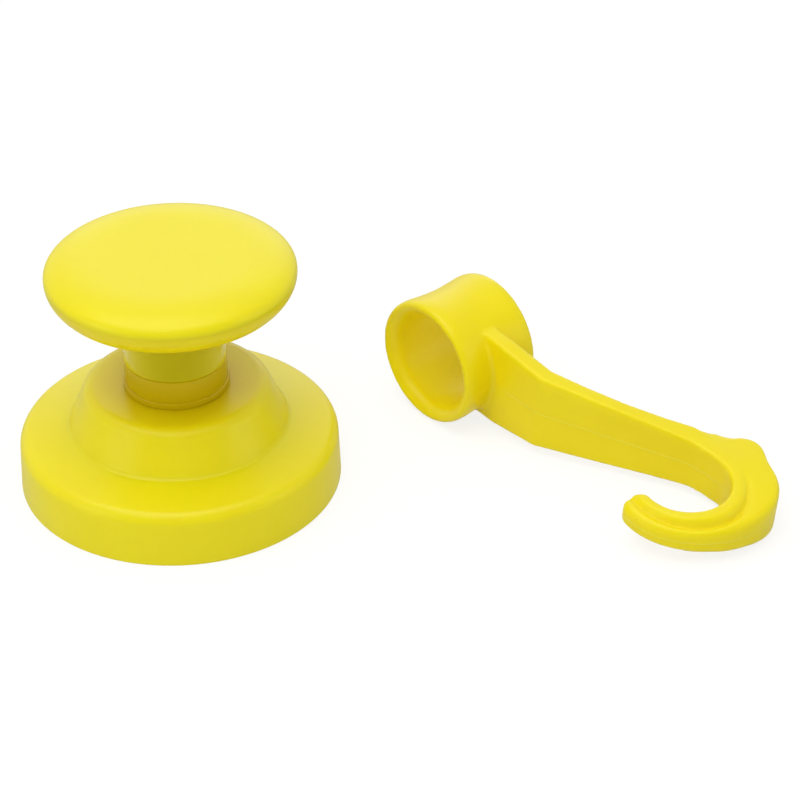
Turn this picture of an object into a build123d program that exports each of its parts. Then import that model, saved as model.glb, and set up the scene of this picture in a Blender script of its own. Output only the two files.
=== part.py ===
from build123d import *
import os
from math import asin, atan, cos, hypot, pi, radians, sin, sqrt, tan

# Magnetic hook: a coated pot magnet with a stem and a flat knob, and its hook lying beside it.
# Millimetres. The origin is the centre of the magnet's holding face, and +Z points away from the
# steel wall that the magnet would hold on.

# Play that several pieces share
fit_gap = 0.1
end_gap = 0.2
overrun = 1.0

# Magnet cover, moulded in one
cover_radius = 33.0
cover_draft = 0.4
cover_shoulder = 11.3
cover_edge_round = 2.3
cover_wall = 2.4
foot_radius = 22.5
foot_height = 13.5
crown_radius = 18.5
crown_height = 22.6
crown_round = 3.6
crown_wall = 2.2
dish_drop = 0.4
web_count = 6
web_thickness = 2.0

# Pot, ring magnet and resin
pot_height = 9.4
pot_wall = 2.0
pot_back = 2.6
pot_edge_round = 1.2
face_recess = 0.3
ring_wall_gap = 1.0
ring_hole_radius = 11.4

# Centre boss, its nut and washer
pole_radius = 8.8
boss_radius = 7.0
boss_top_recess = 0.4
thread_radius = 5.0
thread_gap = 0.05
thread_pitch = 1.5
thread_turns = 6
thread_run_out = 2.0
nut_across_flats = 22.0
nut_height = 5.0
nut_chamfer = 0.8
washer_outer_radius = 10.6
washer_height = 1.6
washer_slit = 1.2

# Stem
stem_radius = 10.4
collar_height = 6.0
collar_lip_height = 1.0
collar_lip_reach = 0.35
collar_lip_round = 0.3
parting_chamfer = 0.3
sleeve_stud_gap = 0.4
thrust_washer_radius = 9.4
thrust_washer_height = 1.0

# Knob
knob_radius = 25.25
knob_upper_height = 3.8
knob_upper_round = 7.0
knob_lower_height = 6.5
knob_lower_round = 9.0
knob_wall = 2.2
knob_recess_depth = 1.0
recess_clearance = 0.7
knob_floor = 3.4
pocket_wall = 3.2
channel_wall = 2.2
channel_wall_share = 0.43
spigot_height = 1.8
spigot_thickness = 1.8
flange_across_flats = 17.0
flange_height = 2.6
stud_washer_radius = 8.0
stud_washer_height = 0.8
stud_tip_chamfer = 1.0

# Hook sleeve
hook_clearance = 0.2
hook_sleeve_length = 19.4
hook_sleeve_wall = 3.2
hook_rim_depth = 2.0
hook_rim_crest = 2.45
hook_rim_round = 0.4
hook_waist = 0.2
hook_end_play = 0.3

# Hook arm: straight out of the sleeve, then cranked back, thinnest in its middle
arm_setback = 7.8
arm_front_lean = 0.69
root_thickness = 3.85
crank_thickness = 4.0
early_thickness = 3.6
middle_thickness = 3.45
late_thickness = 4.0
heel_thickness = 5.2
arm_edge_round = 0.6
crank_reach = 26.1
crank_angle = 25.45
arm_reach = 57.7
root_flare = 0.5
root_half_width = 10.3
crank_half_width = 8.95
arm_end_half_width = 5.85

# Hook bend: a band round an open throat, with a rib round its outside that starts as a heel as
# wide as the arm and narrows towards the tip. The shares are read from the arm to the tip.
bend_reach = 63.6
bend_radius = 8.9
band_thickness = 3.4
band_half_width = 5.7
band_angles = [100, 80, 60, 40, 20, 0, -20, -40, -60, -80, -92, -104]
band_thickness_shares = [1.2, 0.94, 0.85, 0.92, 1.04, 1.1, 0.98, 0.86, 0.8, 0.78, 0.8, 0.84]
tip_width_share = 0.67
rib_height = 9.0
rib_half_width = 5.55
rib_edge_round = 1.7
rib_root_share = 0.07
bend_steps = 24
rib_angles = [119, 114, 104, 98, 93, 89, 83, 77, 71, 60, 50, 40, 30, 20, 10, 0, -20, -40, -60, -80, -104]
rib_height_shares = [
    0.75, 0.82, 0.9, 1.05, 1.16, 1.19, 1.16, 1.07, 1.03, 1.05, 1.08, 1.05, 0.99, 0.9, 0.8, 0.73, 0.6,
    0.54, 0.54, 0.56, 0.59,
]
rib_width_shares = [
    1, 1, 1, 1, 1, 1, 1, 1, 0.98, 0.95, 0.92, 0.87, 0.8, 0.73, 0.67, 0.62, 0.56, 0.52, 0.49, 0.48,
    0.48,
]
rib_round_shares = [
    0.4, 0.4, 0.4, 0.4, 0.4, 0.4, 0.4, 0.45, 0.5, 0.55, 0.6, 0.7, 0.8, 0.9, 1, 1, 1, 1, 1, 1, 1,
]
tip_length = 1.5
tip_place_shares = [0.45, 0.8, 1]
tip_size_shares = [0.9, 0.7, 0.4]

# Where the hook lies beside the magnet
hook_place_x = 50.337
hook_place_y = 18.581
hook_turn = -139.8

# Heights that follow from the sizes above
collar_top = crown_height + collar_height
boss_top = collar_top - boss_top_recess
recess_ceiling = crown_height + hook_sleeve_length + 2 * hook_end_play
knob_underside = recess_ceiling - knob_recess_depth
knob_equator = knob_underside + knob_lower_height
knob_top = knob_equator + knob_upper_height
pot_radius = cover_radius - cover_draft - cover_wall
pot_bore = boss_radius + fit_gap
ring_radius = pot_radius - pot_wall - ring_wall_gap
ring_top = pot_height - pot_back
hook_bore = stem_radius + hook_clearance
hook_sleeve_radius = hook_bore + hook_sleeve_wall
sleeve_bottom = collar_top + end_gap
sleeve_top = recess_ceiling - end_gap - thrust_washer_height
floor_top = recess_ceiling + knob_floor
flange_bottom = floor_top + stud_washer_height
flange_top = flange_bottom + flange_height
stud_tip = boss_top - thread_turns * thread_pitch
recess_radius = hook_sleeve_radius + recess_clearance

MIN_Z = (Align.CENTER, Align.CENTER, Align.MIN)


def turned(points, radii=0):
    """A solid of revolution about Z, from an outline given as radius and height."""
    corner_radii = radii if radii else [0] * len(points)
    outline = FilletPolyline(*points, radius=corner_radii, close=True)
    return revolve(Plane.XZ * make_face(outline), axis=Axis.Z)


def tube(outer, inner, bottom, top):
    """A plain round tube on the Z axis."""
    return turned([(inner, bottom), (outer, bottom), (outer, top), (inner, top)])


def rod(radius, bottom, top):
    """A plain round rod on the Z axis."""
    return Pos(0, 0, bottom) * Cylinder(radius, top - bottom, align=MIN_Z)


def hexagon(across_flats, bottom, top):
    """A hexagonal prism on the Z axis."""
    flats = RegularPolygon(across_flats / 2, 6, major_radius=False)
    return Pos(0, 0, bottom) * extrude(flats, top - bottom)


def magnet_cover():
    """Moulded cover: side wall, sloping shoulder, steep crown and plateau, open underneath."""
    side_top = cover_radius - cover_draft
    pocket = pot_radius + fit_gap
    pocket_top = pot_height + fit_gap
    hole = boss_radius + fit_gap
    inner_crown = crown_radius - crown_wall
    inner_foot = foot_radius - crown_wall
    under_crown = crown_height - crown_wall
    outline = [
        (cover_radius, 0), (side_top, cover_shoulder), (foot_radius, foot_height),
        (crown_radius, crown_height), (hole, crown_height - dish_drop), (hole, under_crown),
        (inner_crown, under_crown), (inner_foot, pocket_top), (pocket, pocket_top), (pocket, 0),
    ]
    radii = [0, cover_edge_round, 0, crown_round, 0, 0, 0, 0, 0, 0]
    cover = turned(outline, radii)
    web_start = nut_across_flats / 2 + cover_wall
    web_end = inner_crown + crown_wall / 2
    web_height = under_crown - pocket_top
    web_box = Box(web_end - web_start, web_thickness, web_height, align=(Align.MIN, Align.CENTER, Align.MIN))
    for number in range(web_count):
        web = Rot(0, 0, 360 / web_count * number) * Pos(web_start, 0, pocket_top) * web_box
        cover += web
    return cover


def steel_pot():
    """Pressed steel cup, its mouth at the holding face, with a hole for the boss."""
    mouth = pot_radius - pot_wall
    outline = [
        (pot_bore, ring_top), (mouth, ring_top), (mouth, 0), (pot_radius, 0),
        (pot_radius, pot_height), (pot_bore, pot_height),
    ]
    return turned(outline, [0, 0, 0, 0, pot_edge_round, 0])


def ring_magnet():
    return tube(ring_radius, ring_hole_radius, face_recess, ring_top)


def outer_potting():
    return tube(pot_radius - pot_wall, ring_radius, face_recess, ring_top)


def inner_potting():
    return tube(ring_hole_radius, pole_radius, face_recess, ring_top)


def threaded_boss():
    """Centre pole and boss in one turned piece, with the tapped hole, drawn without its thread."""
    solid = rod(pole_radius, 0, ring_top) + rod(boss_radius, ring_top, boss_top)
    hole_bottom = stud_tip - thread_run_out
    return solid - rod(thread_radius + thread_gap, hole_bottom, boss_top + overrun)


def boss_washer():
    """Split spring washer between the pot's back and the nut."""
    ring = tube(washer_outer_radius, pot_bore, pot_height, pot_height + washer_height)
    slit = Box(washer_outer_radius + overrun, washer_slit, washer_height + 2 * overrun, align=MIN_Z)
    slit_place = Pos(washer_outer_radius / 2 + overrun, 0, pot_height - overrun)
    return ring - slit_place * slit


def boss_nut():
    """Thin hexagon nut, its corners turned off on both faces."""
    bottom = pot_height + washer_height
    top = bottom + nut_height
    corner_radius = nut_across_flats / 2 / cos(pi / 6)
    flats = hexagon(nut_across_flats, bottom, top)
    envelope = chamfer(rod(corner_radius, bottom, top).edges().filter_by(GeomType.CIRCLE), nut_chamfer)
    return (flats & envelope) - rod(pot_bore, bottom - overrun, top + overrun)


def stem_collar():
    """Moulded collar on the boss, with a small lip that seats on the plateau."""
    bottom = crown_height - dish_drop
    lip_radius = stem_radius + collar_lip_reach
    lip_top = crown_height + collar_lip_height
    bore = boss_radius + fit_gap
    outline = [
        (bore, bottom), (lip_radius, bottom), (lip_radius, lip_top), (stem_radius, lip_top),
        (stem_radius, collar_top), (bore, collar_top),
    ]
    collar = turned(outline, [0, 0, collar_lip_round, 0, parting_chamfer, 0])
    return collar - magnet_cover()


def stem_sleeve():
    """Glossy bush that the hook turns on, spacing the knob from the collar."""
    bore = thread_radius + sleeve_stud_gap
    ends = tube(stem_radius, bore, sleeve_bottom, sleeve_top)
    rims = ends.edges().filter_by(GeomType.CIRCLE).filter_by(lambda e: e.radius > bore + fit_gap)
    return chamfer(rims, parting_chamfer)


def thrust_washer():
    return tube(thrust_washer_radius, thread_radius + sleeve_stud_gap, sleeve_top,
                sleeve_top + thrust_washer_height)


def knob_half(height, corner, up):
    """Outer form of one half of the knob, solid: a flat end and an elliptical corner."""
    flat_radius = knob_radius - corner
    end = knob_equator + (height if up else -height)
    centre = (flat_radius, knob_equator)
    curve = EllipticalCenterArc(centre, corner, height, 0 if up else -90, arc_size=90)
    walls = Polyline((flat_radius, end), (0, end), (0, knob_equator), (knob_radius, knob_equator))
    return revolve(Plane.XZ * make_face([curve, *walls.edges()]), axis=Axis.Z)


def knob_cap():
    """Upper shell of the knob, from its widest line upwards, with a spigot into the lower body."""
    ceiling = knob_top - knob_wall
    inside = knob_radius - knob_upper_round / 2 - knob_wall
    shell = knob_half(knob_upper_height, knob_upper_round, True) - rod(inside, knob_equator - overrun, ceiling)
    spigot_bottom = knob_equator - spigot_height
    return shell + tube(inside, inside - spigot_thickness, spigot_bottom, ceiling)


def knob_base():
    """Lower body of the knob: recess for the hook's rim, floor, pocket for the stud's flange."""
    body = knob_half(knob_lower_height, knob_lower_round, False)
    body -= rod(recess_radius, knob_underside - overrun, recess_ceiling)
    spigot_seat = knob_radius - knob_upper_round / 2 - knob_wall + fit_gap
    body -= rod(spigot_seat, floor_top, knob_equator + overrun)
    channel_inner = recess_radius + (spigot_seat - recess_radius) * channel_wall_share
    channel_bottom = knob_underside + channel_wall
    body -= tube(spigot_seat, channel_inner, channel_bottom, floor_top + overrun)
    pocket_radius = flange_across_flats / 2 + pocket_wall
    body += rod(pocket_radius, floor_top - fit_gap, flange_top)
    body -= hexagon(flange_across_flats + 2 * fit_gap, floor_top, flange_top + overrun)
    return body - rod(thread_radius + fit_gap, recess_ceiling - overrun, floor_top + overrun)


def clamp_stud():
    """Stud with a hexagon flange that the knob turns, drawn without its thread."""
    shank = rod(thread_radius, stud_tip, flange_bottom)
    tip = shank.edges().filter_by(GeomType.CIRCLE).sort_by(Axis.Z)[0]
    return chamfer(tip, stud_tip_chamfer) + hexagon(flange_across_flats, flange_bottom, flange_top)


def stud_washer():
    return tube(stud_washer_radius, thread_radius + fit_gap, floor_top, flange_bottom)


# The hook is drawn lying flat: x along its arm from the sleeve's axis, y from the sleeve's front
# rim to its back rim, and z across its width, which is symmetric.
crank_front = arm_setback + arm_front_lean
arm_end_front = crank_front + tan(radians(crank_angle)) * (arm_reach - crank_reach)
bend_y = arm_end_front - bend_radius


def on_circle(x, y, radius, angle):
    return (x + radius * cos(radians(angle)), y + radius * sin(radians(angle)))


def hook_sleeve():
    """Waisted sleeve with a funnel mouth and a rounded rim at each end, on the Y axis."""
    crest = hook_bore + hook_rim_crest
    outer_round = hook_sleeve_radius - crest
    back = hook_sleeve_length - hook_rim_depth
    funnel_slope = atan(hook_rim_depth / (hook_rim_crest - hook_rim_round))
    lip_x = crest - hook_rim_round - hook_rim_round * cos(funnel_slope)
    lip_y = hook_rim_round * sin(funnel_slope)
    waist_middle = (hook_sleeve_radius - hook_waist, hook_sleeve_length / 2)
    outline = [
        Line((hook_bore, back), (hook_bore, hook_rim_depth)),
        Line((hook_bore, hook_rim_depth), (lip_x, lip_y)),
        TangentArc((crest, 0), (lip_x, lip_y), tangent=(-1, 0)),
        EllipticalCenterArc((crest, hook_rim_depth), outer_round, hook_rim_depth, 270),
        ThreePointArc((hook_sleeve_radius, hook_rim_depth), waist_middle, (hook_sleeve_radius, back)),
        EllipticalCenterArc((crest, back), outer_round, hook_rim_depth, 0),
        TangentArc((crest, hook_sleeve_length), (lip_x, hook_sleeve_length - lip_y), tangent=(-1, 0)),
        Line((lip_x, hook_sleeve_length - lip_y), (hook_bore, back)),
    ]
    return revolve(make_face(outline), axis=Axis.Y)


def spine_section(front, lean, thickness, half_width):
    """Rounded cross-section of the hook, from a point on its front face, square to its run there."""
    backward = (-sin(radians(lean)), cos(radians(lean)), 0)
    forward = (cos(radians(lean)), sin(radians(lean)), 0)
    middle = (front[0] + backward[0] * thickness / 2, front[1] + backward[1] * thickness / 2, 0)
    plane = Plane(origin=middle, x_dir=backward, z_dir=forward)
    return plane * RectangleRounded(thickness, 2 * half_width, arm_edge_round)


def bend_section(angle, inner, outer, half_width, edge_round):
    """Rounded cross-section across the bend at an angle, between two distances from its centre."""
    middle = on_circle(bend_reach, bend_y, (inner + outer) / 2, angle)
    outward = (cos(radians(angle)), sin(radians(angle)), 0)
    onward = (sin(radians(angle)), -cos(radians(angle)), 0)
    plane = Plane(origin=(*middle, 0), x_dir=outward, z_dir=onward)
    return plane * RectangleRounded(outer - inner, 2 * half_width, edge_round)


def rounded_tip(inner, outer, half_width, edge_round):
    """Rounded end of the band or the rib, closed by ever smaller sections."""
    tip_middle = bend_radius + rib_height * rib_height_shares[-1] / 2
    sections = [bend_section(band_angles[-1], inner, outer, half_width, edge_round)]
    for place, size in zip(tip_place_shares, tip_size_shares):
        angle = band_angles[-1] - degrees_along(tip_length * place)
        low = tip_middle + (inner - tip_middle) * size
        high = tip_middle + (outer - tip_middle) * size
        sections.append(bend_section(angle, low, high, half_width * (1 + size) / 2, edge_round * size))
    return loft(sections, ruled=True)


def degrees_along(length):
    """Angle that a length takes up round the throat."""
    return length / bend_radius * 180 / pi


def band_half_width_at(angle):
    """Half width of the band, which narrows evenly to the tip."""
    share = (band_angles[0] - angle) / (band_angles[0] - band_angles[-1])
    return band_half_width * (1 + (tip_width_share - 1) * share)


def read_share(angles, shares, angle):
    """Share at an angle, read between the two nearest entries of a table."""
    for number in range(1, len(angles)):
        if angle >= angles[number]:
            break
    before, after = angles[number - 1], angles[number]
    return shares[number - 1] + (shares[number] - shares[number - 1]) * (before - angle) / (before - after)


def even_angles(start, end):
    return [start + (end - start) * step / bend_steps for step in range(bend_steps + 1)]


def hook_arm():
    """Arm: out of the sleeve's wall, through the crank, straight to where the bend starts."""
    flared = root_half_width + root_flare
    root_reach = sqrt((hook_sleeve_radius - hook_sleeve_wall / 4) ** 2 - flared ** 2)
    mitre_thickness = crank_thickness / cos(radians(crank_angle / 2))
    sections = [
        spine_section((root_reach, arm_setback), 0, root_thickness, flared),
        spine_section((hook_sleeve_radius, arm_setback), 0, root_thickness, root_half_width),
        spine_section((crank_reach, crank_front), crank_angle / 2, mitre_thickness, crank_half_width),
    ]
    beam_length = hypot(arm_reach - crank_reach, arm_end_front - crank_front)
    beam_thicknesses = [early_thickness, middle_thickness, late_thickness, heel_thickness]
    for number, thickness in enumerate(beam_thicknesses, 1):
        share = number / len(beam_thicknesses)
        half_width = crank_half_width + (arm_end_half_width - crank_half_width) * share
        front = on_circle(crank_reach, crank_front, beam_length * share, crank_angle)
        sections.append(spine_section(front, crank_angle, thickness, half_width))
    return loft(sections, ruled=True)


def band_stations():
    """Angle, outer radius and half width of the band, from the arm to the tip."""
    stations = []
    for angle in even_angles(band_angles[0], band_angles[-1]):
        thickness = band_thickness * read_share(band_angles, band_thickness_shares, angle)
        stations.append((angle, bend_radius + thickness, band_half_width_at(angle)))
    return stations


def hook_band():
    """Band round the throat, from the end of the arm to the tip."""
    sections = [bend_section(angle, bend_radius, outer, half_width, arm_edge_round)
                for angle, outer, half_width in band_stations()]
    arm_end = spine_section((arm_reach, arm_end_front), crank_angle, heel_thickness, arm_end_half_width)
    angle, outer, half_width = band_stations()[-1]
    tip = rounded_tip(bend_radius, outer, half_width, arm_edge_round)
    return loft(sections) + loft([arm_end, sections[0]], ruled=True) + tip


def rib_stations():
    """Angle, outer radius, half width and edge rounding of the rib, from its heel to the tip."""
    stations = []
    for angle in even_angles(rib_angles[0], rib_angles[-1]):
        outer = bend_radius + rib_height * read_share(rib_angles, rib_height_shares, angle)
        half_width = rib_half_width * read_share(rib_angles, rib_width_shares, angle)
        rounding = rib_edge_round * read_share(rib_angles, rib_round_shares, angle)
        stations.append((angle, outer, half_width, rounding))
    return stations


def hook_rib():
    """Rib round the outside of the bend, with the heel as its start, rooted in the band."""
    root = bend_radius + rib_height * rib_root_share
    sections = [bend_section(angle, root, outer, half_width, edge_round)
                for angle, outer, half_width, edge_round in rib_stations()]
    angle, outer, half_width, edge_round = rib_stations()[-1]
    return loft(sections) + rounded_tip(root, outer, half_width, edge_round)


def hook():
    """Whole hook, one moulding, laid on the table beside the magnet."""
    solid = hook_sleeve() + hook_arm() + hook_band() + hook_rib()
    bore = Rot(-90, 0, 0) * Cylinder(hook_bore, hook_sleeve_length - 2 * hook_rim_depth, align=MIN_Z)
    solid -= Pos(0, hook_rim_depth, 0) * bore
    return hook_plane().location * solid


def contact_tilt(reach, half_width, edge_round):
    """Fall of the hook's plane at which a rounded edge of the bend comes down to the table."""
    drop = hook_sleeve_radius - edge_round
    edge = half_width - edge_round
    return asin(drop / hypot(reach, edge)) - atan(edge / reach)


def hook_tilt():
    """Fall of the hook's plane as it lies, with the sleeve and the lowest edge of the bend on the table."""
    tilts = []
    for angle, outer, half_width, edge_round in rib_stations():
        reach = bend_reach + (outer - edge_round) * cos(radians(angle))
        tilts.append(contact_tilt(reach, half_width, edge_round))
    for angle, outer, half_width in band_stations():
        reach = bend_reach + (outer - arm_edge_round) * cos(radians(angle))
        tilts.append(contact_tilt(reach, half_width, arm_edge_round))
    return min(tilts)


def hook_plane():
    """Plane of the lying hook: its origin is the centre of the sleeve's front rim."""
    tilt = hook_tilt()
    arm_heading = radians(hook_turn + 90)
    along_arm = (cos(arm_heading) * cos(tilt), sin(arm_heading) * cos(tilt), -sin(tilt))
    across = (cos(arm_heading) * sin(tilt), sin(arm_heading) * sin(tilt), cos(tilt))
    return Plane(origin=(hook_place_x, hook_place_y, hook_sleeve_radius), x_dir=along_arm, z_dir=across)


pieces = {
    "magnet_cover": magnet_cover,
    "steel_pot": steel_pot,
    "ring_magnet": ring_magnet,
    "outer_potting": outer_potting,
    "inner_potting": inner_potting,
    "threaded_boss": threaded_boss,
    "boss_washer": boss_washer,
    "boss_nut": boss_nut,
    "stem_collar": stem_collar,
    "stem_sleeve": stem_sleeve,
    "thrust_washer": thrust_washer,
    "knob_base": knob_base,
    "knob_cap": knob_cap,
    "stud_washer": stud_washer,
    "clamp_stud": clamp_stud,
    "hook": hook,
}

os.makedirs("parts", exist_ok=True)
for name, make in pieces.items():
    export_step(make(), f"parts/{name}.step")
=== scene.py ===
import math

import bmesh
import bpy
from mathutils import Matrix, Vector


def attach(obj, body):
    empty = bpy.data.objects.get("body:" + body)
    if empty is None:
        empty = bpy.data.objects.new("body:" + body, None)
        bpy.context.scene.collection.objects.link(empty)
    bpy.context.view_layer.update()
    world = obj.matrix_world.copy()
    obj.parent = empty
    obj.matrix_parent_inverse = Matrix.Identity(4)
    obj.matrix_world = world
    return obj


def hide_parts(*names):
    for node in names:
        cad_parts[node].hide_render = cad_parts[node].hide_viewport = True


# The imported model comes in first, and everything below dresses it in place. The scene is in metres, and
# sizes in mm are turned into metres by MM. The origin is the middle of the magnet's holding face, and
# +Z runs along the stem.
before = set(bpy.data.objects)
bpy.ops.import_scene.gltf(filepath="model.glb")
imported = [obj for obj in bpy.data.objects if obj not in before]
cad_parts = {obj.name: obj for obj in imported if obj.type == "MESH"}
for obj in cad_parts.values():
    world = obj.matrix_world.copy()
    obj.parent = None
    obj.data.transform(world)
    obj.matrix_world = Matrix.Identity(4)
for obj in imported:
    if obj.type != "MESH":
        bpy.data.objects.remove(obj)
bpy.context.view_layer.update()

# Magnet cover: one satin lemon-yellow moulding round the pot, with a low shoulder, a steep crown and
# a flat plateau for the stem. Its skin comes from a lightly spark-eroded mould, so it has a fine
# grain, faint clouds in its colour and a few specks of dust in the pigment.
MM = 0.001
disc_radius, disc_foot_round = 33.0, 0.35
shoulder_radius, shoulder_height, shoulder_round = 32.6, 11.3, 2.0
crown_radius, crown_foot, crown_foot_round = 22.5, 13.5, 0.7
plateau_radius, plateau_height, plateau_round = 18.5, 22.6, 1.9
stem_hole_radius, stem_hole_top, stem_hole_bottom = 7.1, 22.2, 20.4
cavity_radius, cavity_height = 30.35, 9.5


def turned_object(name, shape, steps=192):
    """Turns the outline in shape once about the stem, welds it, and gives it as an object."""
    weld, soft_angle = 0.002, math.radians(40)
    bmesh.ops.spin(shape, geom=shape.verts[:] + shape.edges[:], cent=(0, 0, 0), axis=(0, 0, 1),
                   angle=math.tau, steps=steps, use_merge=True)
    bmesh.ops.remove_doubles(shape, verts=shape.verts, dist=weld * MM)
    bmesh.ops.recalc_face_normals(shape, faces=shape.faces)
    mesh = bpy.data.meshes.new(name)
    shape.to_mesh(mesh)
    shape.free()
    mesh.shade_smooth()
    mesh.set_sharp_from_angle(angle=soft_angle)
    piece = bpy.data.objects.new(name, mesh)
    bpy.context.collection.objects.link(piece)
    return piece


def turned_piece(name, outline, steps=192):
    """Turns an outline whose corners are (radius, height), or (radius, height, round) where it is rounded."""
    shape = bmesh.new()
    corners = [shape.verts.new((radius * MM, 0, height * MM)) for radius, height, *_ in outline]
    for start, end in zip(corners, corners[1:] + corners[:1]):
        shape.edges.new((start, end))
    for corner, (_, _, *rounding) in zip(corners, outline):
        for size in rounding:
            bmesh.ops.bevel(shape, geom=[corner], offset=size * MM, offset_type="OFFSET", affect="VERTICES",
                            segments=8, profile=0.5, material=-1)
    return turned_object(name, shape, steps)


def new_group(name, inputs, outputs):
    """An empty shader node group with its named sockets."""
    group = bpy.data.node_groups.new(name, "ShaderNodeTree")
    for label, kind, value in inputs:
        socket = group.interface.new_socket(label, in_out="INPUT", socket_type=kind)
        socket.default_value = value
    for label, kind in outputs:
        group.interface.new_socket(label, in_out="OUTPUT", socket_type=kind)
    return group, group.nodes.new("NodeGroupInput"), group.nodes.new("NodeGroupOutput")


def place_group(tree, group):
    """Places a node group in a material."""
    node = tree.nodes.new("ShaderNodeGroup")
    node.node_tree = group
    return node


def maths(tree, operation, first, second=None, third=None):
    """A Math node; each operand is a number or a socket."""
    node = tree.nodes.new("ShaderNodeMath")
    node.operation = operation
    for number, operand in enumerate((first, second, third)):
        if isinstance(operand, (int, float)):
            node.inputs[number].default_value = operand
        elif operand is not None:
            tree.links.new(operand, node.inputs[number])
    return node.outputs[0]


def noise(tree, vector, scale, detail, roughness=0.5):
    """A noise value over the given coordinates; scale is in cells per metre."""
    node = tree.nodes.new("ShaderNodeTexNoise")
    node.inputs["Detail"].default_value = detail
    node.inputs["Roughness"].default_value = roughness
    tree.links.new(vector, node.inputs["Vector"])
    if isinstance(scale, (int, float)):
        node.inputs["Scale"].default_value = scale
    else:
        tree.links.new(scale, node.inputs["Scale"])
    return node.outputs["Fac"]


def object_place(tree):
    """A point on the piece, in metres, as a socket."""
    return tree.nodes.new("ShaderNodeTexCoord").outputs["Object"]


def place_parts(tree):
    """The X, Y and Z of a point on the piece, as sockets."""
    parts = tree.nodes.new("ShaderNodeSeparateXYZ")
    tree.links.new(object_place(tree), parts.inputs[0])
    return parts.outputs


def stem_distance(tree, parts):
    """How far a point lies from the stem's axis."""
    squares = [maths(tree, "POWER", parts[axis], 2.0) for axis in ("X", "Y")]
    return maths(tree, "SQRT", maths(tree, "ADD", *squares))


def colour_mix(tree, factor, first, second):
    """A colour between two others; each is a socket or an RGB triple."""
    node = tree.nodes.new("ShaderNodeMix")
    node.data_type = "RGBA"
    tree.links.new(factor, node.inputs["Factor"])
    for socket, colour in ((node.inputs["A"], first), (node.inputs["B"], second)):
        if isinstance(colour, tuple):
            socket.default_value = (*colour, 1)
        else:
            tree.links.new(colour, socket)
    return node.outputs["Result"]


def new_finish(name):
    """A new material with its node tree and its shader."""
    material = bpy.data.materials.new(name)
    material.use_nodes = True
    return material, material.node_tree, material.node_tree.nodes["Principled BSDF"]


def raise_surface(tree, shader, height):
    """Lets a height in metres stand out on the surface."""
    bump = tree.nodes.new("ShaderNodeBump")
    bump.inputs["Strength"].default_value = 1.0
    bump.inputs["Distance"].default_value = 1.0
    tree.links.new(height, bump.inputs["Height"])
    tree.links.new(bump.outputs["Normal"], shader.inputs["Normal"])


# Effect: the skin of a moulding. Clouds shift its colour, a fine grain sets its gloss and bump, and
# a Voronoi pattern leaves sparse specks.
cloud_gain, cloud_shift, cloud_limit = 0.9, -0.25, 0.4
grain_roughness, cloud_roughness = 0.16, 0.08
speck_cells, speck_size, speck_rarity, speck_strength = 260.0, 0.045, 0.9, 0.35
speck_colour = (0.42, 0.30, 0.03)
moulded_skin, skin_in, skin_out = new_group(
    "moulded_skin",
    [("Colour", "NodeSocketColor", (0.9, 0.8, 0.05, 1)),
     ("Deep colour", "NodeSocketColor", (0.8, 0.66, 0.02, 1)),
     ("Cloud scale", "NodeSocketFloat", 70.0), ("Grain scale", "NodeSocketFloat", 1900.0),
     ("Base roughness", "NodeSocketFloat", 0.38)],
    [("Colour", "NodeSocketColor"), ("Roughness", "NodeSocketFloat"), ("Height", "NodeSocketFloat")])
skin_place = object_place(moulded_skin)
clouds = noise(moulded_skin, skin_place, skin_in.outputs["Cloud scale"], detail=3.0)
grain = noise(moulded_skin, skin_place, skin_in.outputs["Grain scale"], detail=3.0, roughness=0.6)
cloud_mask = maths(moulded_skin, "MULTIPLY_ADD", clouds, cloud_gain, cloud_shift)
cloud_mask = maths(moulded_skin, "MINIMUM", maths(moulded_skin, "MAXIMUM", cloud_mask, 0.0), cloud_limit)
clouded = colour_mix(moulded_skin, cloud_mask, skin_in.outputs["Colour"], skin_in.outputs["Deep colour"])
cells = moulded_skin.nodes.new("ShaderNodeTexVoronoi")
cells.inputs["Scale"].default_value = speck_cells
moulded_skin.links.new(skin_place, cells.inputs["Vector"])
near_centre = maths(moulded_skin, "LESS_THAN", cells.outputs["Distance"], speck_size)
cell_tone = moulded_skin.nodes.new("ShaderNodeSeparateColor")
moulded_skin.links.new(cells.outputs["Color"], cell_tone.inputs[0])
rare_cell = maths(moulded_skin, "GREATER_THAN", cell_tone.outputs[0], speck_rarity)
speck_mask = maths(moulded_skin, "MULTIPLY", near_centre, rare_cell)
speck_mask = maths(moulded_skin, "MULTIPLY", speck_mask, speck_strength)
moulded_skin.links.new(colour_mix(moulded_skin, speck_mask, clouded, speck_colour), skin_out.inputs["Colour"])
grained = maths(moulded_skin, "MULTIPLY_ADD", grain, grain_roughness, skin_in.outputs["Base roughness"])
moulded_skin.links.new(maths(moulded_skin, "MULTIPLY_ADD", clouds, cloud_roughness, grained),
                       skin_out.inputs["Roughness"])
moulded_skin.links.new(grain, skin_out.inputs["Height"])


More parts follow.
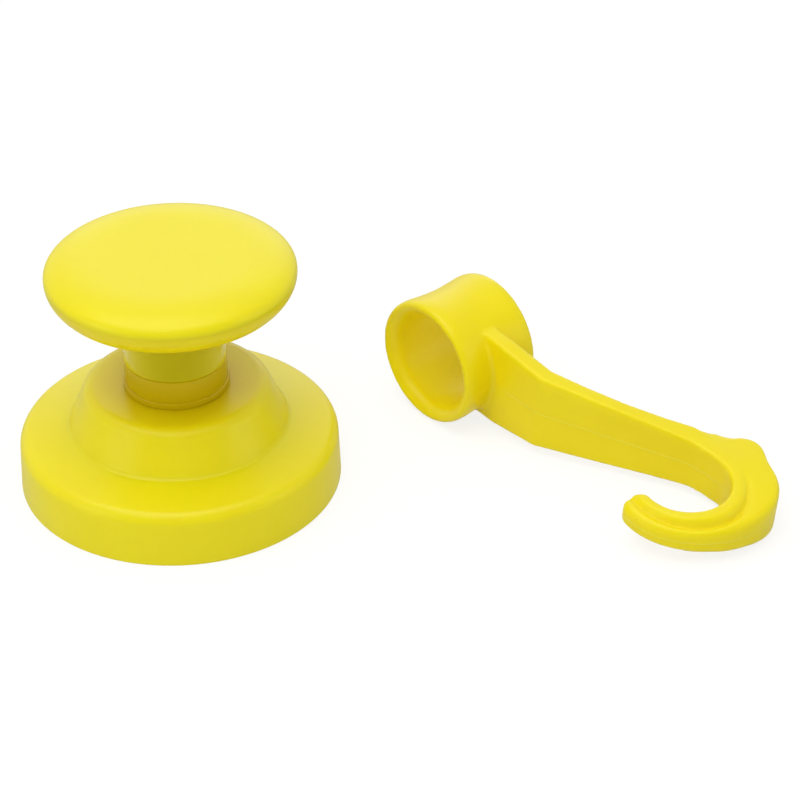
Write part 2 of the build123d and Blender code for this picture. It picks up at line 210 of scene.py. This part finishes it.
def moulding(name, colour, deep, roughness, grain_depth, glow_depth, ior=1.4, relief=None, relief_depth=0.0,
             relief_colour=None):
    """A moulded plastic with the shared skin. Light enters it to glow_depth, red furthest and blue hardly at
    all; relief gives a mask of the places that stand out or take another colour, here painted shade or a
    painted highlight."""
    glow_weight, glow_reach = 0.3, (1.0, 0.8, 0.1)
    material, tree, shader = new_finish(name)
    skin = place_group(tree, moulded_skin)
    skin.inputs["Colour"].default_value = (*colour, 1)
    skin.inputs["Deep colour"].default_value = (*deep, 1)
    skin.inputs["Base roughness"].default_value = roughness
    tree.links.new(skin.outputs["Roughness"], shader.inputs["Roughness"])
    shader.inputs["IOR"].default_value = ior
    shader.inputs["Subsurface Weight"].default_value = glow_weight if glow_depth else 0.0
    shader.inputs["Subsurface Radius"].default_value = glow_reach
    shader.inputs["Subsurface Scale"].default_value = glow_depth
    surface_colour = skin.outputs["Colour"]
    height = maths(tree, "MULTIPLY", skin.outputs["Height"], grain_depth)
    if relief:
        mask = relief(tree)
        height = maths(tree, "MULTIPLY_ADD", mask, relief_depth, height)
        if relief_colour:
            surface_colour = colour_mix(tree, mask, surface_colour, relief_colour)
    tree.links.new(surface_colour, shader.inputs["Base Color"])
    raise_surface(tree, shader, height)
    return material


# The third colour is a deeper yellow for the plateau: painted shade under the knob.
lemon, lemon_deep, shaded_lemon = (0.93, 0.81, 0.004), (0.90, 0.75, 0.003), (0.80, 0.65, 0.001)
moulded_grain, thick_glow = 0.004 * MM, 1.5 * MM


def painted_shade_ring(tree):
    """The plateau round the stem, darker and deeper toward the stem's foot as painted shade under the knob,
    as a mask.
    """
    ring_radius, ring_fade = 18.0 * MM, 7.0 * MM
    ring_bottom, bottom_fade = 21.0 * MM, 1.0 * MM
    parts = place_parts(tree)
    inside = maths(tree, "SUBTRACT", ring_radius, stem_distance(tree, parts))
    inward = maths(tree, "DIVIDE", inside, ring_fade)
    upward = maths(tree, "DIVIDE", maths(tree, "SUBTRACT", parts["Z"], ring_bottom), bottom_fade)
    return maths(tree, "MAXIMUM", maths(tree, "MINIMUM", maths(tree, "MINIMUM", inward, upward), 1.0), 0.0)


# The cover's plateau takes a deeper yellow toward the stem: painted shade under the knob.
cover_moulding = moulding("cover_moulding", lemon, lemon_deep, roughness=0.22, grain_depth=moulded_grain,
                          glow_depth=thick_glow, relief=painted_shade_ring, relief_colour=shaded_lemon)
cover = turned_piece("cover_shell", [
    (cavity_radius, 0), (disc_radius, 0, disc_foot_round),
    (shoulder_radius, shoulder_height, shoulder_round), (crown_radius, crown_foot, crown_foot_round),
    (plateau_radius, plateau_height, plateau_round), (stem_hole_radius, stem_hole_top),
    (stem_hole_radius, stem_hole_bottom), (cavity_radius, cavity_height)])
cover.data.materials.append(cover_moulding)
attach(cover, "magnet")
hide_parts("magnet_cover")

# Steel pot and centre boss: zinc-plated mild steel, pressed and turned, and the only steel that
# touches the wall. Their faces, and those of the nut and washers, carry fine rings from turning.

# Effect: the skin of bright zinc plate. Soft patches shift its grey and its gloss.
patch_roughness = 0.25
zinc_skin, zinc_in, zinc_out = new_group(
    "zinc_skin",
    [("Colour", "NodeSocketColor", (0.62, 0.63, 0.64, 1)),
     ("Dull colour", "NodeSocketColor", (0.50, 0.52, 0.56, 1)),
     ("Patch scale", "NodeSocketFloat", 120.0), ("Base roughness", "NodeSocketFloat", 0.22)],
    [("Colour", "NodeSocketColor"), ("Roughness", "NodeSocketFloat")])
patches = noise(zinc_skin, object_place(zinc_skin), zinc_in.outputs["Patch scale"], detail=3.0)
zinc_skin.links.new(colour_mix(zinc_skin, patches, zinc_in.outputs["Colour"], zinc_in.outputs["Dull colour"]),
                    zinc_out.inputs["Colour"])
zinc_skin.links.new(
    maths(zinc_skin, "MULTIPLY_ADD", patches, patch_roughness, zinc_in.outputs["Base roughness"]),
    zinc_out.inputs["Roughness"])


def turning_marks(tree):
    """The height of the marks that turning leaves, as rings about the stem's axis."""
    ring_scale, ring_depth = 3500.0, 0.006 * MM
    parts = place_parts(tree)
    ring_place = tree.nodes.new("ShaderNodeCombineXYZ")
    tree.links.new(stem_distance(tree, parts), ring_place.inputs["X"])
    tree.links.new(parts["Z"], ring_place.inputs["Z"])
    return maths(tree, "MULTIPLY", noise(tree, ring_place.outputs[0], ring_scale, detail=4.0, roughness=0.7),
                 ring_depth)


def plated_steel(name, marks):
    """Bright zinc plate; marks gives the height of what is cut into the steel."""
    material, tree, shader = new_finish(name)
    skin = place_group(tree, zinc_skin)
    tree.links.new(skin.outputs["Colour"], shader.inputs["Base Color"])
    tree.links.new(skin.outputs["Roughness"], shader.inputs["Roughness"])
    shader.inputs["Metallic"].default_value = 1.0
    raise_surface(tree, shader, marks(tree))
    return material


def dress(node, material):
    """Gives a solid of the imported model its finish."""
    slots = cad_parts[node].data.materials
    slots.clear()
    slots.append(material)


zinc_plate = plated_steel("zinc_plate", turning_marks)
for node in ("steel_pot", "threaded_boss", "boss_washer", "boss_nut", "thrust_washer", "stud_washer"):
    dress(node, zinc_plate)

# Ring magnet: sintered ferrite, dark grey and slightly sparkling, its flat face ground. It sits in
# black resin, cast round it and inside it, which has set with faint clouds and a few specks.
ferrite, ferrite_tree, ferrite_shader = new_finish("ferrite")
ferrite_dark, ferrite_light = (0.035, 0.035, 0.038), (0.085, 0.085, 0.09)
ferrite_grains, ferrite_grain_depth = 2600.0, 0.02 * MM
ferrite_roughness, ferrite_grain_roughness = 0.35, 0.3
ferrite_grain = noise(ferrite_tree, object_place(ferrite_tree), ferrite_grains, detail=4.0, roughness=0.7)
ferrite_tree.links.new(colour_mix(ferrite_tree, ferrite_grain, ferrite_dark, ferrite_light),
                       ferrite_shader.inputs["Base Color"])
ferrite_tree.links.new(
    maths(ferrite_tree, "MULTIPLY_ADD", ferrite_grain, ferrite_grain_roughness, ferrite_roughness),
    ferrite_shader.inputs["Roughness"])
raise_surface(ferrite_tree, ferrite_shader,
              maths(ferrite_tree, "MULTIPLY", ferrite_grain, ferrite_grain_depth))
dress("ring_magnet", ferrite)

resin_colour, resin_deep, resin_grain = (0.022, 0.022, 0.024), (0.012, 0.012, 0.013), 0.01 * MM
resin = moulding("cast_resin", resin_colour, resin_deep, roughness=0.18, grain_depth=resin_grain,
                 glow_depth=0.0)
for node in ("outer_potting", "inner_potting"):
    dress(node, resin)

# Stem collar: a yellow moulded ring pressed on the boss, with a small lip where it meets the
# plateau. It was turned to size, so fine rings run round it.
stem_radius = 10.4
collar_bore, collar_bottom, collar_top, collar_round = 7.15, 22.25, 28.6, 0.3
lip_radius, lip_bottom, lip_edge, lip_top, lip_round = 10.75, 22.42, 23.6, 23.75, 0.25
# The collar's colours are a darker, deeper copy of the yellow moulding: painted shade under the knob.
shaded_collar_colour, shaded_collar_deep, collar_ring_depth = (0.67, 0.50, 0.001), (0.62, 0.46, 0.001), 0.05 * MM
collar_grain, collar_glow = 0.003 * MM, 1.0 * MM

# Effect: fine rings round a turned moulding, as a mask.
turned_rings, rings_in, rings_out = new_group(
    "turned_rings", [("Ring scale", "NodeSocketFloat", 1500.0)], [("Rings", "NodeSocketFloat")])
ring_line = turned_rings.nodes.new("ShaderNodeCombineXYZ")
turned_rings.links.new(place_parts(turned_rings)["Z"], ring_line.inputs["Z"])
turned_rings.links.new(
    noise(turned_rings, ring_line.outputs[0], rings_in.outputs["Ring scale"], detail=3.0, roughness=0.6),
    rings_out.inputs["Rings"])


def lathe_rings(tree):
    """The shared rings, placed in a material."""
    return place_group(tree, turned_rings).outputs["Rings"]


collar_moulding = moulding("collar_moulding", shaded_collar_colour, shaded_collar_deep, roughness=0.2,
                           grain_depth=collar_grain, glow_depth=collar_glow, ior=1.3, relief=lathe_rings,
                           relief_depth=collar_ring_depth)
collar = turned_piece("collar_ring", [
    (collar_bore, collar_bottom), (lip_radius, lip_bottom), (lip_radius, lip_edge, lip_round),
    (stem_radius, lip_top), (stem_radius, collar_top, collar_round), (collar_bore, collar_top)], steps=160)
collar.data.materials.append(collar_moulding)
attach(collar, "magnet")
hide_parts("stem_collar")

# Stem bush: a hard, glossy yellow sleeve that the hook turns on, loose on the stud. Its colour has painted
# shade where it faces the viewer and a painted sheen where it turns away, and the lathe has left hair lines
# round it.
bush_bore, bush_bottom, bush_top = 5.4, 28.68, 41.4
bush_foot_round, bush_top_round = 0.15, 0.3
bush_colour, bush_deep, bush_sheen_colour = (0.48, 0.42, 0.001), (0.44, 0.38, 0.001), (1.0, 0.86, 0.002)
bush_grain, bush_glow, hair_line_depth = 0.001 * MM, 0.5 * MM, 0.02 * MM
# The grain and clouds of the skin add about 0.12 to the roughness, so its base lies below zero here.
bush_moulding = moulding("bush_moulding", bush_colour, bush_deep, roughness=-0.04, grain_depth=bush_grain,
                         glow_depth=bush_glow, ior=1.5, relief=lathe_rings, relief_depth=hair_line_depth)
bush_tree = bush_moulding.node_tree
bush_shader = bush_tree.nodes["Principled BSDF"]
bush_shader.inputs["Specular Tint"].default_value = (1.0, 0.88, 0.2, 1)
# Painted shade and sheen: the colour runs from dark where the bush faces the viewer to bright toward its
# edges.
turned_away = bush_tree.nodes.new("ShaderNodeLayerWeight")
turned_away.inputs["Blend"].default_value = 0.5
facing_colour = bush_shader.inputs["Base Color"].links[0].from_socket
bush_tree.links.new(colour_mix(bush_tree, turned_away.outputs["Facing"], facing_colour, bush_sheen_colour),
                    bush_shader.inputs["Base Color"])
bush = turned_piece("stem_bush", [
    (bush_bore, bush_bottom), (stem_radius, bush_bottom, bush_foot_round),
    (stem_radius, bush_top, bush_top_round), (bush_bore, bush_top)])
bush.data.materials.append(bush_moulding)
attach(bush, "stem")
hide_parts("stem_sleeve")

# Clamp stud: a plated screw with a hexagon flange held in the knob. Its thread is in the finish,
# since the solid is plain.


def screw_thread(tree):
    """The height of the thread round the shank."""
    thread_pitch, thread_depth, shank_top = 1.5 * MM, 0.35 * MM, 44.0 * MM
    parts = place_parts(tree)
    around = maths(tree, "ARCTAN2", parts["Y"], parts["X"])
    climb = maths(tree, "MULTIPLY", parts["Z"], math.tau / thread_pitch)
    wave = maths(tree, "SINE", maths(tree, "SUBTRACT", climb, around))
    on_shank = maths(tree, "LESS_THAN", parts["Z"], shank_top)
    return maths(tree, "MULTIPLY", maths(tree, "MULTIPLY", wave, on_shank), thread_depth)


dress("clamp_stud", plated_steel("stud_finish", screw_thread))

# Knob: two shells snapped together at its widest line, where a hair seam shows. The cap has a flat
# top that rolls over at the rim, and the lower body is hollowed underneath for the hook's sleeve.
knob_radius, seam_height, seam_half_gap, seam_cut = 25.25, 48.1, 0.03, 0.07
cap_height, cap_roll, cap_ease, cap_underside = 3.8, 10.5, 2.0 / 2.35, 49.7
body_height, body_roll, body_ease, body_floor = 6.5, 9.0, 1.0, 46.0
knob_inside_radius, recess_radius, recess_ceiling, stud_hole_radius = 19.5, 14.5, 42.6, 5.1
# The lower body takes a deeper copy of the cap's yellow: painted shade on the half that faces down.
knob_body_shaded_colour, knob_body_shaded_deep = (0.92, 0.76, 0.003), (0.89, 0.71, 0.002)
knob_cap_moulding = moulding("knob_cap_moulding", lemon, lemon_deep, roughness=0.22,
                             grain_depth=moulded_grain, glow_depth=thick_glow)
knob_body_moulding = moulding("knob_body_moulding", knob_body_shaded_colour, knob_body_shaded_deep, roughness=0.24,
                              grain_depth=moulded_grain, glow_depth=thick_glow)


def knob_shell(name, finish, height, roll, ease, inside, way):
    """Half of the knob, up or down from its seam. The rim starts as a quarter circle of radius roll, is eased
    into the flat and squeezed to the half's height; inside is the rest of the outline, back to the seam."""
    flat_radius = knob_radius - roll
    shape = bmesh.new()
    widest = shape.verts.new((knob_radius * MM, 0, 0))
    rim = bmesh.ops.spin(shape, geom=[widest], cent=(flat_radius * MM, 0, 0), axis=(0, -way, 0),
                         angle=math.pi / 2, steps=32)
    rim_end = [item for item in rim["geom_last"] if isinstance(item, bmesh.types.BMVert)][0]
    for corner in shape.verts:
        across = abs(corner.co.x / MM - flat_radius) / roll
        corner.co.x = (flat_radius + roll * across ** ease) * MM
        corner.co.z = math.copysign(roll * (abs(corner.co.z / MM) / roll) ** ease * MM, corner.co.z)
    bmesh.ops.scale(shape, vec=(1, 1, height / roll), verts=shape.verts)
    bmesh.ops.translate(shape, vec=(0, 0, seam_height * MM), verts=shape.verts)
    inside = [*inside, (knob_radius - seam_cut, seam_height + way * seam_half_gap)]
    chain = [rim_end, *[shape.verts.new((radius * MM, 0, level * MM)) for radius, level in inside], widest]
    for first, second in zip(chain, chain[1:]):
        shape.edges.new((first, second))
    shell = turned_object(name, shape)
    shell.data.materials.append(finish)
    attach(shell, "knob")
    return shell


knob_top_shell = knob_shell(
    "knob_top_shell", knob_cap_moulding, cap_height, cap_roll, cap_ease,
    [(0, seam_height + cap_height), (0, cap_underside), (knob_inside_radius, cap_underside),
     (knob_inside_radius, seam_height + seam_half_gap)], 1)
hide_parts("knob_cap")
knob_lower_shell = knob_shell(
    "knob_lower_shell", knob_body_moulding, body_height, body_roll, body_ease,
    [(recess_radius, seam_height - body_height), (recess_radius, recess_ceiling),
     (stud_hole_radius, recess_ceiling), (stud_hole_radius, body_floor), (knob_inside_radius, body_floor),
     (knob_inside_radius, seam_height - seam_half_gap)], -1)
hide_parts("knob_base")

# Hook: one lemon-yellow moulding with its sleeve, cranked arm, ribbed bend and heel. Its solid is
# remeshed and relaxed, which gives the soft fillets that a mould leaves, and a fine flash line runs
# round it at mid-width, where the two halves of the mould met. It stands a hair proud, and its lighter colour
# is a painted highlight.
mouth_centre = Vector((50.337, 18.581, 13.8)) * MM
hook_heading, hook_droop = math.radians(40.2), math.radians(6.7054)
level_along = Vector((math.sin(hook_heading), -math.cos(hook_heading), 0))
hook_back = Vector((math.cos(hook_heading), math.sin(hook_heading), 0))
hook_along = level_along * math.cos(hook_droop) - Vector((0, 0, math.sin(hook_droop)))
hook_across = level_along * math.sin(hook_droop) + Vector((0, 0, math.cos(hook_droop)))
# The third colour is the flash line's painted highlight.
hook_colour, hook_deep, flash_highlight_colour = (0.97, 0.80, 0.003), (0.94, 0.75, 0.002), (0.97, 0.87, 0.08)
flash_height, hook_glow = 0.04 * MM, 3.0 * MM
hook_weld, skin_cell = 0.004, 0.36


def flash_line(tree):
    """The mould's parting line, a mask on the hook's middle plane that fades on the sleeve; it raises a
    slight ridge and carries a painted highlight.
    """
    line_half_width, sleeve_reach, fade_length, faintest = 0.16 * MM, 13.5 * MM, 3.0 * MM, 0.12
    place = object_place(tree)
    measured = []
    for direction in (hook_across, hook_along):
        measure = tree.nodes.new("ShaderNodeVectorMath")
        measure.operation = "DOT_PRODUCT"
        measure.inputs[1].default_value = direction
        tree.links.new(place, measure.inputs[0])
        measured.append(maths(tree, "SUBTRACT", measure.outputs["Value"], mouth_centre.dot(direction)))
    across, along = measured
    distance = maths(tree, "DIVIDE", maths(tree, "ABSOLUTE", across), line_half_width)
    line = maths(tree, "MAXIMUM", maths(tree, "SUBTRACT", 1.0, distance), 0.0)
    past_sleeve = maths(tree, "DIVIDE", maths(tree, "SUBTRACT", along, sleeve_reach), fade_length)
    past_sleeve = maths(tree, "MAXIMUM", maths(tree, "MINIMUM", past_sleeve, 1.0), faintest)
    return maths(tree, "MULTIPLY", line, past_sleeve)


hook_moulding = moulding("hook_moulding", hook_colour, hook_deep, roughness=0.24, grain_depth=moulded_grain,
                         glow_depth=hook_glow, ior=1.38, relief=flash_line, relief_depth=flash_height,
                         relief_colour=flash_highlight_colour)
hook_shape = bmesh.new()
hook_shape.from_mesh(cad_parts["hook"].data)
bmesh.ops.remove_doubles(hook_shape, verts=hook_shape.verts, dist=hook_weld * MM)
hook_mesh = bpy.data.meshes.new("hook_moulded")
hook_shape.to_mesh(hook_mesh)
hook_shape.free()
hook = bpy.data.objects.new("hook_moulded", hook_mesh)
bpy.context.collection.objects.link(hook)
remesh = hook.modifiers.new("even_skin", "REMESH")
remesh.mode = "VOXEL"
remesh.voxel_size = skin_cell * MM
relax = hook.modifiers.new("soft_fillets", "CORRECTIVE_SMOOTH")
relax.smooth_type = "SIMPLE"
relax.factor = 0.5
relax.iterations = 4
relax.use_only_smooth = True
bpy.context.view_layer.update()
evaluated = hook.evaluated_get(bpy.context.evaluated_depsgraph_get())
finished = bpy.data.meshes.new_from_object(evaluated)
hook.modifiers.clear()
hook.data = finished


def smooth_step(start, end, value):
    """0 before start and 1 after end, with a soft change between them."""
    share = min(max((value - start) / (end - start), 0.0), 1.0)
    return share * share * (3 - 2 * share)


def soft_band(start, full, fade, end, value):
    """1 between full and fade and 0 outside start and end, with soft changes between them."""
    return smooth_step(start, full, value) * (1 - smooth_step(fade, end, value))


# The solid's front face, measured along the hook and back from its mouth: the arm from its root on
# the sleeve, the straight start of the bend, and the round of the bend.
sleeve_radius, sleeve_length = 13.5, 19.4
root_back, root_slope = 7.8, 0.055
arm_end, arm_end_back, arm_slope = 57.7, 23.53, math.tan(math.radians(25.45))
bend_start, bend_start_slope = 62.05, 0.032
bend_along, bend_back, bend_radius = 63.6, 14.63, 8.9


def arm_face(along):
    """How far back the solid's front face lies."""
    if along < arm_end:
        at_root = root_back + (along - sleeve_radius) * root_slope
        return max(arm_end_back + (along - arm_end) * arm_slope, at_root)
    if along < bend_start:
        return arm_end_back - (along - arm_end) * bend_start_slope
    return bend_back + math.sqrt(max(bend_radius ** 2 - (along - bend_along) ** 2, 0.0))


def eased_face(along):
    """The same face, averaged over 6 mm before and after it."""
    spread, step_length, steps_each_way = 2.5, 0.5, 12
    steps = [step * step_length for step in range(-steps_each_way, steps_each_way + 1)]
    weights = [math.exp(-(step / spread) ** 2 / 2) for step in steps]
    return sum(weight * arm_face(along + step) for weight, step in zip(weights, steps)) / sum(weights)


# What the mould makes softer than the drawing. The face eases from the arm into the bend, the sleeve
# has a slight waist, and a groove runs along the foot of the rib.
ease_run, ease_depth, throat_back = (48, 52, 61.5, 65.5), (0.5, 3.5), 14
waist_depth, waist_wall = 0.4, (11.2, 12.6, 13.8, 18.0)
groove_depth, groove_width, groove_start, groove_fade = 0.7, 0.7, -110, (10, 75)
rib_foot_radius, rib_foot_swell, flash_margin = 11.6, 1.0, 1.5

# The corners that it relaxes: round the sleeve's mouth, where the arm leaves the sleeve, at the start
# of the heel, and where the runs of the front face meet.
mouth_radius, mouth_depth = 14.5, 3.2
root_wall, root_run, root_start, root_half_width = (12.7, 15.4), (5.5, 14), 8, 8.5
heel_along, heel_back, heel_radius, heel_front = 57.0, 29.0, 4.5, 26.5
join_depth, join_half_width, join_runs = 0.9, 5.0, ((22, 30), (53, 64))
relax_rounds = 30

eased = bmesh.new()
eased.from_mesh(hook.data)
mouth, root, heel_start, face_joins = [], [], [], []
for vert in eased.verts:
    offset = (vert.co - mouth_centre) / MM
    along, back, across = offset.dot(hook_along), offset.dot(hook_back), offset.dot(hook_across)
    behind_face = back - arm_face(along)
    if ease_run[0] < along < ease_run[-1] and back > throat_back:
        share = (1 - smooth_step(*ease_depth, behind_face)) * soft_band(*ease_run, along)
        vert.co += hook_back * (eased_face(along) - arm_face(along)) * share * MM
    radius = math.hypot(along, across)
    if waist_wall[0] < radius < waist_wall[-1]:
        waist = waist_depth * math.sin(math.pi * min(max(back / sleeve_length, 0.0), 1.0)) ** 2
        inward = waist * soft_band(*waist_wall, radius) / radius
        vert.co -= (hook_along * along + hook_across * across) * inward * MM
    from_bend = math.hypot(along - bend_along, back - bend_back)
    turn = math.degrees(math.atan2(back - bend_back, along - bend_along))
    if groove_start < turn < groove_fade[-1] and abs(across) > flash_margin:
        rib_foot = rib_foot_radius + rib_foot_swell * math.cos(math.radians(turn)) ** 3
        groove = math.exp(-((from_bend - rib_foot) / groove_width) ** 2)
        groove *= 1 - smooth_step(*groove_fade, turn)
        vert.co -= hook_across * (math.copysign(groove_depth, across) * groove) * MM
    if radius < mouth_radius and back < mouth_depth:
        mouth.append(vert)
    on_root = root_wall[0] < radius < root_wall[1] and root_run[0] < back < root_run[1]
    if on_root and along > root_start and abs(across) < root_half_width:
        root.append(vert)
    if math.hypot(along - heel_along, back - heel_back) < heel_radius and back > heel_front:
        heel_start.append(vert)
    at_join = any(start < along < end for start, end in join_runs)
    if at_join and abs(behind_face) < join_depth and abs(across) < join_half_width:
        face_joins.append(vert)
for part in (mouth, root, heel_start, face_joins):
    for _ in range(relax_rounds):
        bmesh.ops.smooth_vert(eased, verts=part, factor=0.5,
                              use_axis_x=True, use_axis_y=True, use_axis_z=True)
eased.to_mesh(hook.data)
eased.free()
hook.data.materials.clear()
hook.data.materials.append(hook_moulding)
hook.data.shade_smooth()
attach(hook, "hook")
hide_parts("hook")

# Floor: a pale studio sweep that shows white to the camera and a little dimmer in the gloss, and
# still takes the soft shadow of the object.
floor_half_width, floor_centre, floor_drop = 3.0, 0.05, -0.05 * MM
bounce_grey, shown_grey = (0.8, 0.8, 0.8, 1), (0.25, 0.25, 0.25, 1)
floor_glow, dimmed_in_gloss = 0.8, -0.4
floor_mesh = bpy.data.meshes.new("floor")
floor_shape = bmesh.new()
bmesh.ops.create_grid(floor_shape, x_segments=1, y_segments=1, size=floor_half_width)
bmesh.ops.translate(floor_shape, vec=(floor_centre, 0.0, floor_drop), verts=floor_shape.verts)
floor_shape.to_mesh(floor_mesh)
floor_shape.free()
floor = bpy.data.objects.new("floor", floor_mesh)
bpy.context.collection.objects.link(floor)
floor_paint, floor_tree, _ = new_finish("floor_paint")
floor_tree.nodes.clear()
floor_diffuse = floor_tree.nodes.new("ShaderNodeBsdfDiffuse")
floor_diffuse.inputs["Color"].default_value = bounce_grey
shown_diffuse = floor_tree.nodes.new("ShaderNodeBsdfDiffuse")
shown_diffuse.inputs["Color"].default_value = shown_grey
shown_glow = floor_tree.nodes.new("ShaderNodeEmission")
shown = floor_tree.nodes.new("ShaderNodeAddShader")
floor_tree.links.new(shown_diffuse.outputs[0], shown.inputs[0])
floor_tree.links.new(shown_glow.outputs[0], shown.inputs[1])
rays = floor_tree.nodes.new("ShaderNodeLightPath")
floor_tree.links.new(
    maths(floor_tree, "MULTIPLY_ADD", rays.outputs["Is Glossy Ray"], dimmed_in_gloss, floor_glow),
    shown_glow.inputs["Strength"])
seen = maths(floor_tree, "MAXIMUM", rays.outputs["Is Camera Ray"], rays.outputs["Is Glossy Ray"])
seen = maths(floor_tree, "MAXIMUM", seen, rays.outputs["Is Transmission Ray"])
floor_mix = floor_tree.nodes.new("ShaderNodeMixShader")
floor_tree.links.new(seen, floor_mix.inputs[0])
floor_tree.links.new(floor_diffuse.outputs[0], floor_mix.inputs[1])
floor_tree.links.new(shown.outputs[0], floor_mix.inputs[2])
floor_out = floor_tree.nodes.new("ShaderNodeOutputMaterial")
floor_tree.links.new(floor_mix.outputs[0], floor_out.inputs["Surface"])
floor_mesh.materials.append(floor_paint)

# World: a white backdrop behind and above, and a dim room on the camera's side, as the gloss shows
# it. The camera sees white all round, and the rest of the light is soft and even.
room_glow, glow_upwards, glow_backwards = 0.6, 0.15, 0.9
dimmest, brightest, even_light = 0.1, 1.1, 0.37
world = bpy.data.worlds.new("cyclorama")
bpy.context.scene.world = world
world.use_nodes = True
world_tree = world.node_tree
world_light = world_tree.nodes["Background"]
world_rays = world_tree.nodes.new("ShaderNodeLightPath")
world_way = world_tree.nodes.new("ShaderNodeSeparateXYZ")
world_tree.links.new(world_tree.nodes.new("ShaderNodeTexCoord").outputs["Generated"], world_way.inputs[0])
backdrop = maths(world_tree, "MULTIPLY_ADD", world_way.outputs["Z"], glow_upwards, room_glow)
backdrop = maths(world_tree, "MULTIPLY_ADD", world_way.outputs["Y"], glow_backwards, backdrop)
backdrop = maths(world_tree, "MINIMUM", maths(world_tree, "MAXIMUM", backdrop, dimmest), brightest)
in_gloss = maths(world_tree, "MULTIPLY", world_rays.outputs["Is Glossy Ray"],
                 maths(world_tree, "SUBTRACT", backdrop, even_light))
world_seen = maths(world_tree, "MAXIMUM", world_rays.outputs["Is Camera Ray"],
                   world_rays.outputs["Is Transmission Ray"])
in_view = maths(world_tree, "MULTIPLY_ADD", world_seen, 1.0 - even_light, even_light)
world_tree.links.new(maths(world_tree, "ADD", in_view, in_gloss), world_light.inputs["Strength"])
world_light.inputs["Color"].default_value = (1, 1, 1, 1)

# Studio lamps: five square softboxes, one overhead, one at each side, one behind and one by the
# camera. The last only fills the shade, so the gloss doesn't mirror it.
subject = (0.05, 0.0, 0.02)


def softbox(name, place, aim, size, power):
    """A square lamp that looks at a point; places and its size are in metres, its power in watts."""
    lamp = bpy.data.lights.new(name, "AREA")
    lamp.size = size
    lamp.energy = power
    holder = bpy.data.objects.new(name, lamp)
    bpy.context.collection.objects.link(holder)
    holder.location = place
    holder.rotation_euler = (Vector(aim) - Vector(place)).to_track_quat("-Z", "Y").to_euler()
    return holder


softbox("overhead", place=(-0.1, -0.1, 0.8), aim=(0.03, 0.0, 0.0), size=0.8, power=3.75)
softbox("left", place=(-0.75, -0.45, 0.3), aim=(0.03, 0.0, 0.02), size=0.5, power=0.95)
softbox("right", place=(0.9, -0.25, 0.3), aim=subject, size=0.5, power=0.75)
softbox("back", place=(0.05, 0.9, 0.4), aim=subject, size=0.7, power=0.9)
fill = softbox("fill", place=(0.05, -0.9, 0.5), aim=subject, size=0.5, power=1.15)
fill.visible_glossy = False

# Camera: where the photograph was taken from, worked out from the round rims of the disc, the knob,
# the stem and the hook's sleeve. It looks down on the table and leans a little to one side.
camera_place = Vector((45.3401, -503.1553, 351.1605)) * MM
look_down, lean = math.radians(33.5744), math.radians(-0.51722)
camera_data = bpy.data.cameras.new("camera")
camera_data.sensor_width = 36.0
camera_data.lens = 133.055
camera_data.clip_start = 0.01
camera_data.clip_end = 20.0
camera = bpy.data.objects.new("camera", camera_data)
bpy.context.collection.objects.link(camera)
forward = Vector((0, math.cos(look_down), -math.sin(look_down)))
level_side, level_up = Vector((1, 0, 0)), Vector((0, math.sin(look_down), math.cos(look_down)))
side = level_side * math.cos(lean) + level_up * math.sin(lean)
up = level_up * math.cos(lean) - level_side * math.sin(lean)
turn = Matrix((side, up, -forward)).transposed()
camera.matrix_world = Matrix.Translation(camera_place) @ turn.to_4x4()
bpy.context.scene.camera = camera
bpy.context.scene.view_settings.view_transform = "Standard"
